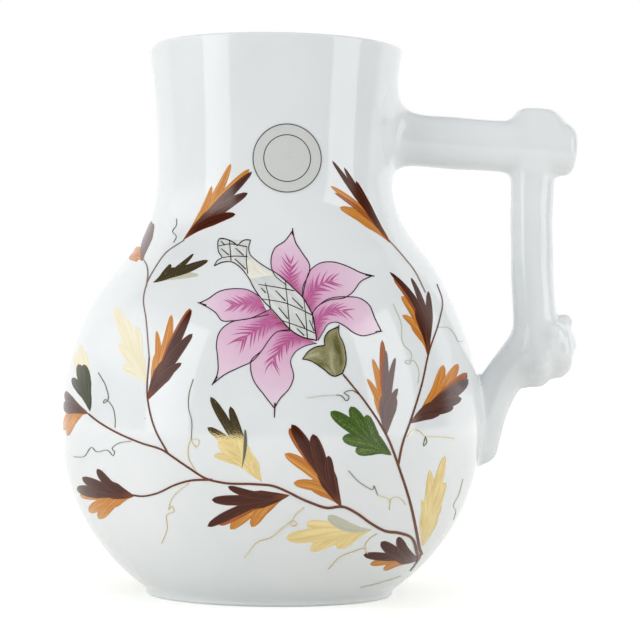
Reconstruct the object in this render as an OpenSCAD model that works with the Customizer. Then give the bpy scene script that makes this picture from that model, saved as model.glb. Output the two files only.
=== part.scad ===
// Painted porcelain ewer: a turned hollow body with a pouring lip,
// and a rustic handle of three branch-like limbs, coped where they meet.

/* [Foot] */
// Outer radius of the foot ring
foot_r = 46; // [42:0.2:52]
// Height of the foot ring's upright side
foot_h = 2; // [1:0.1:5]
// Width of the foot ring's resting face
foot_w = 5; // [3:0.5:8]
// Depth of the hollow inside the foot ring
foot_recess = 1.8; // [1:0.1:4]
// Bevel along the foot ring's outer edge
foot_bevel = 0.6; // [0.2:0.1:1]
// Width of the small ledge where the belly starts on the foot ring
foot_ledge = 0.4; // [0.2:0.1:1]

/* [Body] */
// Radius of the belly at its widest line
belly_r = 78.5; // [72:0.5:86]
// Height of the widest line above the foot ring
belly_h = 61.5; // [52:0.1:70]
// Radius of the shoulder's arc, seen from the side
shoulder_arc = 98; // [90:1:108]
// Height from the widest line to the narrowest line of the neck
shoulder_h = 91.5; // [85:0.5:100]
// Radius of the neck at its narrowest line
neck_r = 44.2; // [40:0.2:48]
// Height of the neck's straight part
neck_h = 2; // [1:0.5:15]
// Height of the flare that ends in the rim
flare_h = 46.5; // [35:0.5:60]
// How far the rim stands out beyond the neck
flare = 3.5; // [1:0.1:6]
// Thickness of the wall
wall = 4.5; // [3:0.1:6]
// Thickness of the floor
floor_t = 6; // [4:0.5:10]
// Radius on the rim's two edges
rim_round = 1; // [0.4:0.1:1.4]

/* [Pouring lip] */
// Depth of the dip in the rim
lip_dip = 2.5; // [1:0.1:5]
// Radius of the dip, seen from the side that it pours to
lip_arc = 18; // [12:0.5:30]

/* [Upper limb of the handle] */
// Height of the limb's axis at the neck, above the neck's narrowest line
upper_rise = 15.4; // [12:0.2:22]
// Downward slope of the limb, in degrees
upper_slope = 3.1; // [0:0.1:8]
// Radius of the limb
upper_r = 9.75; // [8:0.05:12]
// How far the sawn end stands past the upright's axis
upper_end = 15.6; // [12:0.2:24]
// Rounding of the sawn end's edge
upper_end_round = 4; // [1:0.1:6]
// Radius of the fillet that spreads the limb on the neck
root_fillet = 12; // [10:0.5:16]
// How far out from the neck the fillet runs
root_run = 9; // [5:0.5:10]
// How far the root spreads beyond the limb
root_spread = 4.5; // [2:0.1:6]
// Radius of the stub on top of the limb
stub_r = 6.4; // [4:0.1:7]
// Height of the stub above the limb
stub_rise = 4.2; // [2:0.1:6]
// Radius of the hollow fillet round the stub's root
stub_fillet = 4.6; // [2:0.1:6]
// Rounding of the stub's top edge
stub_round = 1.2; // [0.4:0.1:2]
// How far the stub's outer side slopes out towards the sawn end
stub_slope = 6; // [2:0.2:8]

/* [Upright of the handle] */
// Distance from the body's axis to the upright's upper end
grip_reach = 97; // [93:0.2:108]
// How much further out the upright's lower end stands
upright_lean = 1.9; // [0:0.1:4]
// Radius of the upright at its waist
upright_r = 7.95; // [6.5:0.05:9]
// How much thicker the upright is at its ends
upright_swell = 0.4; // [0.1:0.05:1]
// How far the upright bows towards the body at its waist
upright_bow = 1.3; // [0:0.1:3]
// Radius of the fillet in the upper inner corner
corner_fillet = 5; // [2:0.2:8]

/* [Lower limb of the handle] */
// Height of the knot above the belly's widest line
knot_lift = 29; // [22:0.2:36]
// Radius of the knot
knot_r = 12.2; // [11:0.1:15]
// Distance from the sawn end to the thickest place of the knot
knot_in = 14; // [10:0.1:17]
// Length of the knot's swelling from there towards the sawn end
knot_spread_end = 13; // [8:0.1:16]
// Length of the knot's swelling from there towards the belly
knot_spread = 7.5; // [6:0.1:11]
// How far the sawn end stands past the upright's axis
knot_end = 15; // [12:0.2:22]
// Rounding of the sawn end's edge
knot_end_round = 5; // [2:0.1:6]
// Radius of the limb between the knot and the belly
lower_r = 7.8; // [6:0.1:9]
// Radius of the tail at its end
tail_r = 6; // [4.5:0.1:7.5]
// Rounding of the tail's end
tail_round = 3; // [1:0.1:4]
// How far the tail's end lies below the belly's widest line
tail_drop = 16; // [8:0.5:24]
// How far the limb's bend stands off the belly
bend_gap = 2.8; // [2:0.1:8]
// Height of the two lumps on the knot
lump_h = 2; // [0:0.1:3]

/* [Label] */
// Radius of the round paper label
label_r = 12.5; // [8:0.5:16]
// Thickness of the label
label_t = 0.2; // [0.1:0.05:0.5]
// Sideways place of the label's middle on the neck
label_x = 5.3; // [-20:0.1:20]
// Height of the label's middle above the neck's narrowest line
label_rise = 4; // [-2:0.5:20]

/* [Hidden] */
$fn = 128;

// Derived arcs are kept to a thousandth of a millimetre, so that their ends fall together
function exact(v) = round(v * 1000) / 1000;

// How far tangent arcs cross each other, so that they join in one clean point
crossing = 0.003;

// Heights of the body's lines above the table
widest_z = foot_h + belly_h;
throat_z = widest_z + shoulder_h;
flare_z = throat_z + neck_h;
rim_z = flare_z + flare_h;
floor_z = foot_recess + floor_t;

// Lower belly: an arc upright at the widest line that ends on the foot ring
belly_in = belly_r - foot_r + foot_ledge;
belly_arc = exact((belly_in * belly_in + belly_h * belly_h) / (2 * belly_in));
belly_c = belly_r - belly_arc;

// Shoulder: an arc upright at the widest line; throat: a hollow arc tangent to it and to the neck
shoulder_c = belly_r - shoulder_arc;
neck_out = neck_r - shoulder_c;
throat_tangent = (neck_out * neck_out + shoulder_h * shoulder_h - shoulder_arc * shoulder_arc)
    / (2 * (shoulder_arc - neck_out));
throat_arc = exact(throat_tangent + 5 * crossing);
throat_c = neck_r + throat_arc;
meet_slope = shoulder_h / (throat_c - shoulder_c);

// Flare: a hollow arc upright at the neck that ends at the rim
flare_arc = exact((flare_h * flare_h + flare * flare) / (2 * flare));
flare_c = neck_r + flare_arc;
rim_r = neck_r + flare;

// Middle of a rim edge's round, at a distance from the flare's centre, and where it touches the wall
function rim_edge(reach) = let (up = flare_h - rim_round)
    [exact(flare_c - sqrt(reach * reach - up * up)), rim_z - rim_round];
function rim_touch(edge, reach) = let (centre = [flare_c, flare_z])
    centre + (edge - centre) * reach / norm(edge - centre);
rim_outer = rim_edge(flare_arc + rim_round - crossing);
rim_inner = rim_edge(flare_arc + wall - rim_round + crossing);
touch_outer = rim_touch(rim_outer, flare_arc);
touch_inner = rim_touch(rim_inner, flare_arc + wall);

// Height of the line through both touching points, at a distance from the axis
function rim_line(x) = touch_inner[1]
    + (x - touch_inner[0]) * (touch_outer[1] - touch_inner[1]) / (touch_outer[0] - touch_inner[0]);

// Outer radius of the lower body at a height
function belly_r_at(z) = z < widest_z
    ? belly_c + sqrt(belly_arc * belly_arc - (widest_z - z) * (widest_z - z))
    : shoulder_c + sqrt(shoulder_arc * shoulder_arc - (z - widest_z) * (z - widest_z));

// Upper limb: its axis, as heights where it crosses the neck and the upright
upper_z = throat_z + upper_rise;
upper_len = exact((grip_reach - neck_r + upper_end) / cos(upper_slope));
upper_joint_z = exact(upper_z - (grip_reach - neck_r) * tan(upper_slope));
upper_top = upper_r / cos(upper_slope);

// Lower limb: a curve from the sawn end past the upright to the tail on the belly
knot_z = widest_z + knot_lift;
tail_z = widest_z - tail_drop;
knot_reach = grip_reach + upright_lean;
lower_route = [
    [knot_reach + knot_end, knot_z + lower_r / 5],
    [knot_reach - lower_r / 2, knot_z],
    [belly_r + bend_gap, knot_z - lower_r / 2],
    [belly_r_at(tail_z) + tail_r / 8, tail_z],
];
limb_rings = 34;
limb_sides = 28;

// Point and direction on a curve with four guide points
function curve_point(g, t) = let (s = 1 - t)
    s * s * s * g[0] + 3 * s * s * t * g[1] + 3 * s * t * t * g[2] + t * t * t * g[3];
function curve_heading(g, t) = let (s = 1 - t)
    let (v = s * s * (g[1] - g[0]) + 2 * s * t * (g[2] - g[1]) + t * t * (g[3] - g[2])) v / norm(v);

// Radius near an end whose edge is rounded, at a distance from that end
function eased(r, d, edge) = d >= edge ? r : r - edge + sqrt(edge * edge - (edge - d) * (edge - d));

// Bell-shaped swelling
function bell(x) = exp(-x * x);

// Lumps on the knot: distance from the sawn end, and angle round the limb from its upper side
lumps = [[5, 0], [22, 180]];
lump_len = 3.5;
lump_angle = 40;
function lump_rise(d, a) = lump_h * max([for (l = lumps)
    bell((d - l[0]) / lump_len) * bell((a > 180 ? 360 - a - l[1] : a - l[1]) / lump_angle)]);

// Radius of the lower limb at a distance from its sawn end and from its tail's end
function lower_r_at(d, left) = let (
    along = d / (d + left),
    stem = lower_r + (tail_r - lower_r) * along * along,
    spread = d < knot_in ? knot_spread_end : knot_spread,
    thick = stem + (knot_r - lower_r) * bell((d - knot_in) / spread)
) eased(eased(thick, d, knot_end_round), left, tail_round);

// One ring of the lower limb
function lower_ring(t) = let (
    p = curve_point(lower_route, t),
    v = curve_heading(lower_route, t),
    d = norm(p - lower_route[0]),
    r = lower_r_at(d, norm(p - lower_route[3]))
) [for (i = [0 : limb_sides - 1]) let (a = 360 * i / limb_sides, q = r + lump_rise(d, a))
    [p[0] + q * cos(a) * v[1], q * sin(a), p[1] - q * cos(a) * v[0]]];

// Width of a hollow fillet, at a distance from the surface that it stands on
function fillet_rise(h, fillet) = h >= fillet ? 0
    : fillet - sqrt(fillet * fillet - pow(fillet - max(h, 0), 2));

// One ring of the upright, from 0 at the knot to 1 at the upper limb's axis
corner_outer_share = 0.25;
function upright_ring(u) = let (
    z = knot_z + u * (upper_joint_z - knot_z),
    x = grip_reach + upright_lean * (1 - u) - upright_bow * sin(180 * u),
    r = upright_r + upright_swell * pow(2 * u - 1, 2),
    rise = fillet_rise(upper_joint_z - upper_top - z, corner_fillet)
) [for (i = [0 : limb_sides - 1]) let (
    a = 360 * i / limb_sides,
    q = r + rise * pow(cos(a), 2) * (cos(a) < 0 ? 1 : corner_outer_share)
) [x + q * cos(a), q * sin(a), z]];

// One ring of the stub, from 0 at the upper limb's axis to 1 at its sawn top
stub_rings = 20;
function stub_ring(u) = let (
    h = u * (upper_top + stub_rise),
    r = eased(stub_r, upper_top + stub_rise - h, stub_round),
    inner = fillet_rise(h - upper_top, stub_fillet),
    outer = stub_slope * (1 - max(h - upper_top, 0) / stub_rise)
) [for (i = [0 : limb_sides - 1]) let (
    a = 360 * i / limb_sides,
    q = r + pow(cos(a), 2) * (cos(a) < 0 ? inner : outer)
) [grip_reach + q * cos(a), q * sin(a), upper_joint_z + h]];

// Area between the axis and the body's surface, moved inwards by a distance, from a height upwards
module half_section(inset, low) {
    intersection() {
        translate([belly_c, widest_z]) circle(belly_arc - inset);
        translate([0, low]) square([belly_r, widest_z - low]);
    }
    intersection() {
        translate([shoulder_c, widest_z]) circle(shoulder_arc - inset);
        translate([0, widest_z]) square([belly_r, shoulder_h]);
    }
    difference() {
        polygon([[0, widest_z - shoulder_c * meet_slope], [throat_c, throat_z], [0, throat_z]]);
        translate([throat_c, throat_z]) circle(throat_arc + inset);
    }
    translate([0, throat_z]) square([neck_r - inset, neck_h]);
    difference() {
        translate([0, flare_z]) square([rim_r + wall, flare_h]);
        translate([flare_c, flare_z]) circle(flare_arc + inset);
    }
}

// Solid through a row of rings that have as many points each
module loft(rings) {
    n = len(rings[0]);
    last = (len(rings) - 1) * n;
    polyhedron(
        points = [for (ring = rings) each ring],
        faces = [
            [for (i = [0 : n - 1]) i],
            [for (i = [n - 1 : -1 : 0]) last + i],
            for (j = [0 : n : last - n], i = [0 : n - 1]) let (k = (i + 1) % n)
                each [[j + i, j + n + i, j + n + k], [j + i, j + n + k, j + k]]
        ]
    );
}

// The body's filled outer form, which the limbs are coped against
module body_form() {
    rotate_extrude() half_section(0, foot_h);
}

module foot_section() {
    polygon([[0, 0], [foot_r - foot_bevel, 0], [foot_r, foot_bevel], [foot_r, foot_h], [0, foot_h]]);
}

module rim_section() {
    translate(rim_outer) circle(rim_round);
    translate(rim_inner) circle(rim_round);
    translate([rim_inner[0], rim_z - 2 * rim_round])
        square([rim_outer[0] - rim_inner[0], 2 * rim_round]);
}

module below_rim() {
    edge = belly_r + wall;
    polygon([[0, 0], [edge, 0], [edge, rim_line(edge)], [0, rim_line(0)]]);
}

module wall_section() {
    difference() {
        union() {
            foot_section();
            intersection() {
                half_section(0, foot_h);
                below_rim();
            }
            rim_section();
        }
        half_section(wall, floor_z);
        square([foot_r - foot_w, foot_recess]);
    }
}

module body() {
    color("white")
    difference() {
        rotate_extrude() wall_section();
        translate([-rim_r - wall, 0, rim_z - lip_dip + lip_arc])
            rotate([0, 90, 0]) cylinder(r = lip_arc, h = 4 * wall);
    }
}

module upper_limb_section() {
    core = upper_len - upper_end_round;
    translate([0, -wall]) square([upper_r, wall + core]);
    translate([0, core]) square([upper_r - upper_end_round, upper_end_round]);
    intersection() {
        translate([upper_r - upper_end_round, core]) circle(upper_end_round);
        square([upper_r, upper_len]);
    }
    difference() {
        translate([0, -wall]) square([upper_r + root_spread, wall + root_run]);
        translate([upper_r + root_fillet, root_run]) circle(root_fillet);
    }
}

module upper_limb_form() {
    translate([neck_r, 0, upper_z]) rotate([0, 90 + upper_slope, 0])
        rotate_extrude() upper_limb_section();
    loft([for (i = [0 : stub_rings - 1]) stub_ring(sin(90 * i / (stub_rings - 1)))]);
}

module handle_upper_limb() {
    color("whitesmoke")
    difference() {
        upper_limb_form();
        body_form();
    }
}

module lower_limb_form() {
    loft([for (i = [0 : limb_rings - 1]) lower_ring((1 - cos(180 * i / (limb_rings - 1))) / 2)]);
}

module handle_lower_limb() {
    color("whitesmoke")
    difference() {
        lower_limb_form();
        body_form();
    }
}

module handle_upright() {
    color("whitesmoke")
    difference() {
        loft([for (i = [0 : limb_rings - 1]) upright_ring(i / (limb_rings - 1))]);
        upper_limb_form();
        lower_limb_form();
    }
}

module label() {
    color("ivory")
    intersection() {
        rotate_extrude() difference() {
            half_section(-label_t, foot_h);
            half_section(0, foot_h);
        }
        translate([label_x, 0, throat_z + label_rise])
            rotate([90, 0, 0]) cylinder(r = label_r, h = belly_r);
    }
}

body();
handle_upper_limb();
handle_upright();
handle_lower_limb();
label();
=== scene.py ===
import math

import bmesh
import bpy
import numpy as np
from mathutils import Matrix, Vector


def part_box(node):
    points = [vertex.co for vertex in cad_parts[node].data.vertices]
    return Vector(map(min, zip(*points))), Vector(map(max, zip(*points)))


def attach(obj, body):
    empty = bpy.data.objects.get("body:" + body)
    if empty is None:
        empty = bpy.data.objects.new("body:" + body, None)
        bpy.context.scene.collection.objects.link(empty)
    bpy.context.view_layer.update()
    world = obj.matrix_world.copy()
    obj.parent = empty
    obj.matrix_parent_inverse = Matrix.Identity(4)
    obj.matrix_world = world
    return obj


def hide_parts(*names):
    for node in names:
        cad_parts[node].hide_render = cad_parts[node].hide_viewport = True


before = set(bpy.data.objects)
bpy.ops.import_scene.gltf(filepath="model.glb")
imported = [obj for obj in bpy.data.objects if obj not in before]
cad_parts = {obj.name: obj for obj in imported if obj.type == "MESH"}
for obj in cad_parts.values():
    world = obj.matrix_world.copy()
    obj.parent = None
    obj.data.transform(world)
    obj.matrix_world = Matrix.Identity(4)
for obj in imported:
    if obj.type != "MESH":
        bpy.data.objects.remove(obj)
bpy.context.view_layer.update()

import openvdb
from mathutils import Vector

# All sizes and places below are millimetres in the solids' own frame
MM = 0.001

# Body: the arcs of its outline, from foot to rim
BELLY_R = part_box("body")[1].x / MM
RIM_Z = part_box("body")[1].z / MM
WIDEST_Z = 63.5
BELLY_ARC = 73.93
SHOULDER_ARC, SHOULDER_END = 98, 127.9
THROAT_ARC, THROAT_Z = 41.2, 155
NECK_R, FLARE_Z, FLARE_ARC = 44.2, 157, 310.6
WALL, RIM_ROUND = 4.5, 1

# Foot: its ring and bevels, the hollow under it, the cove into the belly, and how far up the glaze was wiped
FOOT_R, FOOT_W, FOOT_SIDE = 46, 5, 0.9
FOOT_BEVEL, INNER_BEVEL = 0.6, 0.4
FOOT_HOLLOW, HOLLOW_MIDDLE, HOLLOW_ROUND, HOLLOW_DROP = 1.8, 20, 1, 0.5
FOOT_COVE, WIPED_Z = 3.6, 0.25

# Floor inside: its height, how far from the wall it is nearly flat, where the wall ends above it,
# and the steps in and up of the round between them
FLOOR_Z, FLOOR_IN, FLOOR_ROUND = 7.8, 5, 3
FLOOR_STEPS = [(1.5, 1.2), (4, 0.3), (7, 0)]

# Rings of the thrown body's mesh, those of the cove as shares of it; points round each, and how near
# points are welded
COVE_RINGS = (0.17, 0.33, 0.5, 0.67, 0.83)
BELLY_ROWS, SHOULDER_ROWS, NECK_ROWS, RIM_ROWS = 44, 52, 28, 5
BODY_SIDES, WELD = 288, 0.001

# Signs of hand work on the body: the shoulder leans towards the handle, and the rim dips at the pouring lip
LEAN, LEAN_Z, LEAN_SPREAD = 1.8, 127, 14
LIP_DIP, LIP_SPREAD, LIP_DEPTH = 2.5, math.radians(17), 24

# Handle: axes and radii of its limbs, in the plane through the body's axis
UPPER_ROOT, UPPER_END, UPPER_R, UPPER_EDGE = (30, 171.17), (112.6, 166.7), 9.75, 4
STUB_X, STUB_TOP, STUB_R, STUB_EDGE = 98, 181.3, 7, 2.4
END_SWELL, END_SWELL_R = [(96.5, 172), (101.5, 171.5)], [9.5, 9.4]
UPRIGHT_FOOT, UPRIGHT_HEAD, UPRIGHT_BOW = (98.9, 92.5), (97, 167.5), 1.3
UPRIGHT_R, UPRIGHT_SWELL = 7.95, 0.4
LOWER_GUIDES = [(113.9, 94.06), (95, 92.5), (81.3, 88.6), (77.5, 47.5)]
LOWER_R, TAIL_R, KNOT_R, KNOT_IN = 7.8, 6, 10.9, 14
KNOT_SPREAD_END, KNOT_SPREAD, KNOT_EDGE = 13, 7.5, 5
# The knot's sawn end is trimmed back between its lumps, given as places and radii;
# the lumps off the handle's plane are on both faces
KNOT_TRIM = 2.5
LUMPS = [
    ((109.3, 0, 102.5), 2.8), ((105.3, 0, 93.4), 8.6), ((106.1, 0, 85.8), 4.1), ((99, 0, 83), 5.1),
    ((94.6, 0, 82), 4.3), ((104.5, 6.6, 97.5), 4.6), ((99.5, 6.8, 86.5), 4.4), ((106.8, 5.4, 89.4), 4)]
LIMB_BLEND, STUB_BLEND, LUMP_BLEND = 5.5, 8, 3
# Where the branch runs out onto the body: the size of its fillet at three heights
ROOT_BLENDS = [(120, 6), (160, 11), (180, 18)]
# The clay's unevenness: its depth, how far from the body it is full, and its wave lengths level and upright
UNEVEN, UNEVEN_FROM = 0.16, 14
WAVES_LEVEL, WAVES_UP = (4.3, 3.7), (5.9, 8.1)
# The branch's mesh: the room it is cut from, its cell, the rounds that settle it, and rows along its limbs
HANDLE_LOW, HANDLE_HIGH = np.array([31, -29, 38]), np.array([118, 29, 192])
HANDLE_CELL, HANDLE_MARGIN, SETTLE_ROUNDS = 0.65, 1, 3
UPRIGHT_ROWS, LOWER_ROWS, END_ROWS = 14, 30, 2
SEAM_LIFT, SEAM_SUNK = 0.04, 0.6

# Readings of a surface this far apart give its slope, and edges that turn more than this stay crisp
PROBE = 0.05
CRISP, HANDLE_CRISP = math.radians(40), math.radians(50)

# Eye of the photograph: where it stands, and how it is tilted
PIXELS = 640
PIXELS_PER_MM = 2.67
EYE = np.array([17.8, -840, 91])
EYE_PITCH, EYE_ROLL = math.radians(0.766), math.radians(-0.7)
SENSOR = 36


def linear(hex_colour):
    """Linear colour, with alpha, of an sRGB hex value."""
    shades = [int(hex_colour[i:i + 2], 16) / 255 for i in (1, 3, 5)]
    return [s / 12.92 if s <= 0.04045 else ((s + 0.055) / 1.055) ** 2.4 for s in shades] + [1]


def add(tree, kind, sockets, stops=(), **settings):
    """A node of that kind, with its settings and colour stops made and its sockets given a value or linked.

    A node given to a socket stands for its first live output.
    """
    node = tree.nodes.new(kind)
    for name, value in settings.items():
        setattr(node, name, value)
    for step, (at, colour) in enumerate(stops):
        if step == len(node.color_ramp.elements):
            node.color_ramp.elements.new(at)
        node.color_ramp.elements[step].position = at
        node.color_ramp.elements[step].color = linear(colour)
    for name, value in sockets.items():
        if isinstance(value, bpy.types.Node):
            value = next(output for output in value.outputs if output.enabled)
        if isinstance(value, bpy.types.NodeSocket):
            tree.links.new(value, node.inputs[name])
        else:
            node.inputs[name].default_value = value
    return node


def finish_of(name):
    """A new material and its empty node tree."""
    material = bpy.data.materials.new(name)
    material.use_nodes = True
    material.node_tree.nodes.clear()
    return material, material.node_tree


def surfaced(material, sockets, relief, strength, depth_mm):
    """The material, closed with its shader's sockets and with its relief as a bump."""
    tree = material.node_tree
    bump = add(tree, "ShaderNodeBump", {"Height": relief, "Strength": strength, "Distance": depth_mm * MM})
    skin = add(tree, "ShaderNodeBsdfPrincipled", {**sockets, "Normal": bump})
    add(tree, "ShaderNodeOutputMaterial", {"Surface": skin})
    return material


# Shape of the body

def outer_radius(z):
    """Radius of the body's outer surface at a height."""
    z = np.asarray(z, float)
    belly = BELLY_R - BELLY_ARC + np.sqrt(np.maximum(BELLY_ARC ** 2 - (WIDEST_Z - z) ** 2, 0))
    shoulder = BELLY_R - SHOULDER_ARC + np.sqrt(np.maximum(SHOULDER_ARC ** 2 - (z - WIDEST_Z) ** 2, 0))
    throat = NECK_R + THROAT_ARC - np.sqrt(np.maximum(THROAT_ARC ** 2 - (THROAT_Z - z) ** 2, 0))
    flare = NECK_R + FLARE_ARC - np.sqrt(FLARE_ARC ** 2 - np.maximum(z - FLARE_Z, 0) ** 2)
    heights = [z < WIDEST_Z, z < SHOULDER_END, z < THROAT_Z]
    return np.select(heights, [belly, shoulder, throat], flare)


def radius_slope(z):
    """How fast the body's radius grows with height."""
    return (outer_radius(z + PROBE) - outer_radius(z - PROBE)) / (2 * PROBE)


def lean(z):
    """How far the shoulder leans towards the handle at a height."""
    return LEAN * np.exp(-((z - LEAN_Z) / LEAN_SPREAD) ** 2)


def mesh_piece(name, points, faces, materials, replaced=()):
    """A smooth piece from points in millimetres, riding on the jug."""
    mesh = bpy.data.meshes.new(name)
    mesh.from_pydata((np.asarray(points) * MM).tolist(), [], [list(map(int, f)) for f in faces])
    for material in materials:
        mesh.materials.append(material)
    mesh.shade_smooth()
    mesh.set_sharp_from_angle(angle=CRISP)
    piece = bpy.data.objects.new(name, mesh)
    bpy.context.collection.objects.link(piece)
    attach(piece, "root")
    if replaced:
        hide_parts(*replaced)
    return piece


def body_profile():
    """Radius and height of the body's rings, from the foot's hollow over the rim to the floor inside."""
    inner_foot = FOOT_R - FOOT_W
    foot = [
        (0, FOOT_HOLLOW), (HOLLOW_MIDDLE, FOOT_HOLLOW), (inner_foot - HOLLOW_ROUND, FOOT_HOLLOW),
        (inner_foot, FOOT_HOLLOW - HOLLOW_DROP), (inner_foot, INNER_BEVEL), (inner_foot + INNER_BEVEL, 0),
        (FOOT_R - FOOT_BEVEL, 0), (FOOT_R, FOOT_BEVEL), (FOOT_R, FOOT_SIDE)]
    start, end = np.array([FOOT_R, FOOT_SIDE]), np.array([float(outer_radius(FOOT_COVE)), FOOT_COVE])
    bend = np.array([FOOT_R, FOOT_COVE - (end[0] - FOOT_R) / float(radius_slope(FOOT_COVE))])
    for t in COVE_RINGS:
        foot.append(tuple((1 - t) ** 2 * start + 2 * t * (1 - t) * bend + t ** 2 * end))
    heights = np.concatenate([
        np.linspace(FOOT_COVE, WIDEST_Z, BELLY_ROWS),
        np.linspace(WIDEST_Z, THROAT_Z, SHOULDER_ROWS)[1:],
        np.linspace(THROAT_Z, RIM_Z - RIM_ROUND, NECK_ROWS)[1:],
    ])
    outside = np.stack([outer_radius(heights), heights], 1)
    slope = radius_slope(heights)
    inwards = np.stack([-np.ones_like(slope), slope], 1) / np.hypot(1, slope)[:, None]
    inside = (outside + WALL * inwards)[::-1]
    inside = inside[inside[:, 1] > FLOOR_Z + FLOOR_ROUND]
    quarter = np.linspace(0, math.pi / 2, RIM_ROWS + 1)
    outer_round = (outside[-1][0] - RIM_ROUND, quarter[1:])
    inner_round = (inside[0][0] + RIM_ROUND, quarter[:-1] + math.pi / 2)
    rim = []
    for centre, turns in (outer_round, inner_round):
        for turn in turns:
            rim.append((centre + RIM_ROUND * math.cos(turn), RIM_Z - RIM_ROUND + RIM_ROUND * math.sin(turn)))
    wall_r = inside[-1][0]
    floor = [(wall_r - step_in, FLOOR_Z + step_up) for step_in, step_up in FLOOR_STEPS]
    floor += [((wall_r - FLOOR_IN) / 2, FLOOR_Z), (0, FLOOR_Z)]
    return np.array(foot + outside.tolist() + rim + inside.tolist() + floor)


def throw_body(materials):
    """The thrown body, with its leaning shoulder and the dip of its pouring lip."""
    profile = body_profile()
    angle = np.linspace(0, 2 * math.pi, BODY_SIDES, endpoint=False)
    r, z = profile[:, :1], np.repeat(profile[:, 1:], BODY_SIDES, 1)
    from_lip = np.abs(angle - math.pi)
    dip = LIP_DIP * np.exp(-(from_lip / LIP_SPREAD) ** 2)
    near_rim = np.clip((z - RIM_Z + LIP_DEPTH) / LIP_DEPTH, 0, 1) ** 2
    x, y = r * np.cos(angle) + lean(z), r * np.sin(angle)
    points = np.stack([x, y, z - dip * near_rim], -1).reshape(-1, 3)
    index = np.arange(len(points)).reshape(len(profile), BODY_SIDES)
    after = np.roll(index, -1, 1)
    faces = np.stack([index[:-1], after[:-1], after[1:], index[1:]], -1).reshape(-1, 4)
    piece = mesh_piece("body_thrown", points, faces, materials, ["body"])
    work = bmesh.new()
    work.from_mesh(piece.data)
    bmesh.ops.remove_doubles(work, verts=work.verts, dist=WELD * MM)
    bmesh.ops.recalc_face_normals(work, faces=work.faces)
    for face in work.faces:
        centre = face.calc_center_median() / MM
        wiped = centre.z < WIPED_Z and math.hypot(centre.x, centre.y) > FOOT_R - FOOT_W
        face.material_index = 1 if wiped else 0
    work.to_mesh(piece.data)
    work.free()


# Shape of the handle

def blended(a, b, size):
    """Two distances joined with a soft fillet that starts about that far from their crease."""
    near = np.maximum(size - np.abs(a - b), 0) / size
    return np.minimum(a, b) - near ** 3 * size / 6


def rod(p, start, end, r, edge):
    """Distance to a round rod with rounded edges, whose axis lies in the handle's plane."""
    start, end = np.array([start[0], 0, start[1]]), np.array([end[0], 0, end[1]])
    length = np.linalg.norm(end - start)
    axis = (end - start) / length
    along = (p - start) @ axis
    out = np.linalg.norm(p - start - along[:, None] * axis, axis=1) - (r - edge)
    past = np.abs(along - length / 2) - (length / 2 - edge)
    return np.minimum(np.maximum(out, past), 0) + np.hypot(np.maximum(out, 0), np.maximum(past, 0)) - edge


def limb(p, path, radii):
    """Distance to a limb of changing thickness along a path in the handle's plane."""
    nearest = np.full(len(p), np.inf)
    for a, b, ra, rb in zip(path[:-1], path[1:], radii[:-1], radii[1:]):
        a, b = np.array([a[0], 0, a[1]]), np.array([b[0], 0, b[1]])
        share = np.clip((p - a) @ (b - a) / ((b - a) @ (b - a)), 0, 1)
        away = np.linalg.norm(p - a - share[:, None] * (b - a), axis=1)
        nearest = np.minimum(nearest, away - ra - (rb - ra) * share)
    return nearest


def lower_limb_path():
    """Points and radii of the lower limb, from its sawn end past the knot to the tail on the belly."""
    t = np.linspace(0, 1, LOWER_ROWS)[:, None]
    g = [np.array(point) for point in LOWER_GUIDES]
    path = (1 - t) ** 3 * g[0] + 3 * (1 - t) ** 2 * t * g[1] + 3 * (1 - t) * t ** 2 * g[2] + t ** 3 * g[3]
    from_end = np.linalg.norm(path - g[0], axis=1)
    share = from_end / (from_end + np.linalg.norm(path - g[3], axis=1))
    spread = np.where(from_end < KNOT_IN, KNOT_SPREAD_END, KNOT_SPREAD)
    knot = (KNOT_R - LOWER_R) * np.exp(-((from_end - KNOT_IN) / spread) ** 2)
    return path, LOWER_R + (TAIL_R - LOWER_R) * share ** 2 + knot


def handle_distance(p):
    """Distance to the handle's limbs joined into one branch, without the body."""
    upper = rod(p, UPPER_ROOT, UPPER_END, UPPER_R, UPPER_EDGE)
    upper = blended(upper, limb(p, END_SWELL, END_SWELL_R), LUMP_BLEND)
    stub = rod(p, (STUB_X, UPPER_END[1]), (STUB_X, STUB_TOP), STUB_R, STUB_EDGE)
    upper = blended(upper, stub, STUB_BLEND)
    u = np.linspace(0, 1, UPRIGHT_ROWS)
    foot, head = np.array(UPRIGHT_FOOT), np.array(UPRIGHT_HEAD)
    path = foot + u[:, None] * (head - foot)
    path[:, 0] -= UPRIGHT_BOW * np.sin(math.pi * u)
    upright = limb(p, path, UPRIGHT_R + UPRIGHT_SWELL * (2 * u - 1) ** 2)
    path, radii = lower_limb_path()
    lower = limb(p, path[END_ROWS:-END_ROWS], radii[END_ROWS:-END_ROWS])
    heading = (path[0] - path[END_ROWS]) / np.linalg.norm(path[0] - path[END_ROWS])
    past_end = (p[:, [0, 2]] - path[0]) @ heading + KNOT_TRIM
    lower = -blended(-lower, -past_end, KNOT_EDGE)
    branch = blended(blended(upper, upright, LIMB_BLEND), lower, LIMB_BLEND)
    both_faces = np.stack([p[:, 0], np.abs(p[:, 1]), p[:, 2]], 1)
    for place, r in LUMPS:
        branch = blended(branch, np.linalg.norm(both_faces - np.array(place), axis=1) - r, LUMP_BLEND)
    return branch


def body_distance(p):
    """Distance to the body's outer surface."""
    x, y, z = p.T
    return (np.hypot(x - lean(z), y) - outer_radius(z)) / np.hypot(1, radius_slope(z))


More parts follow.
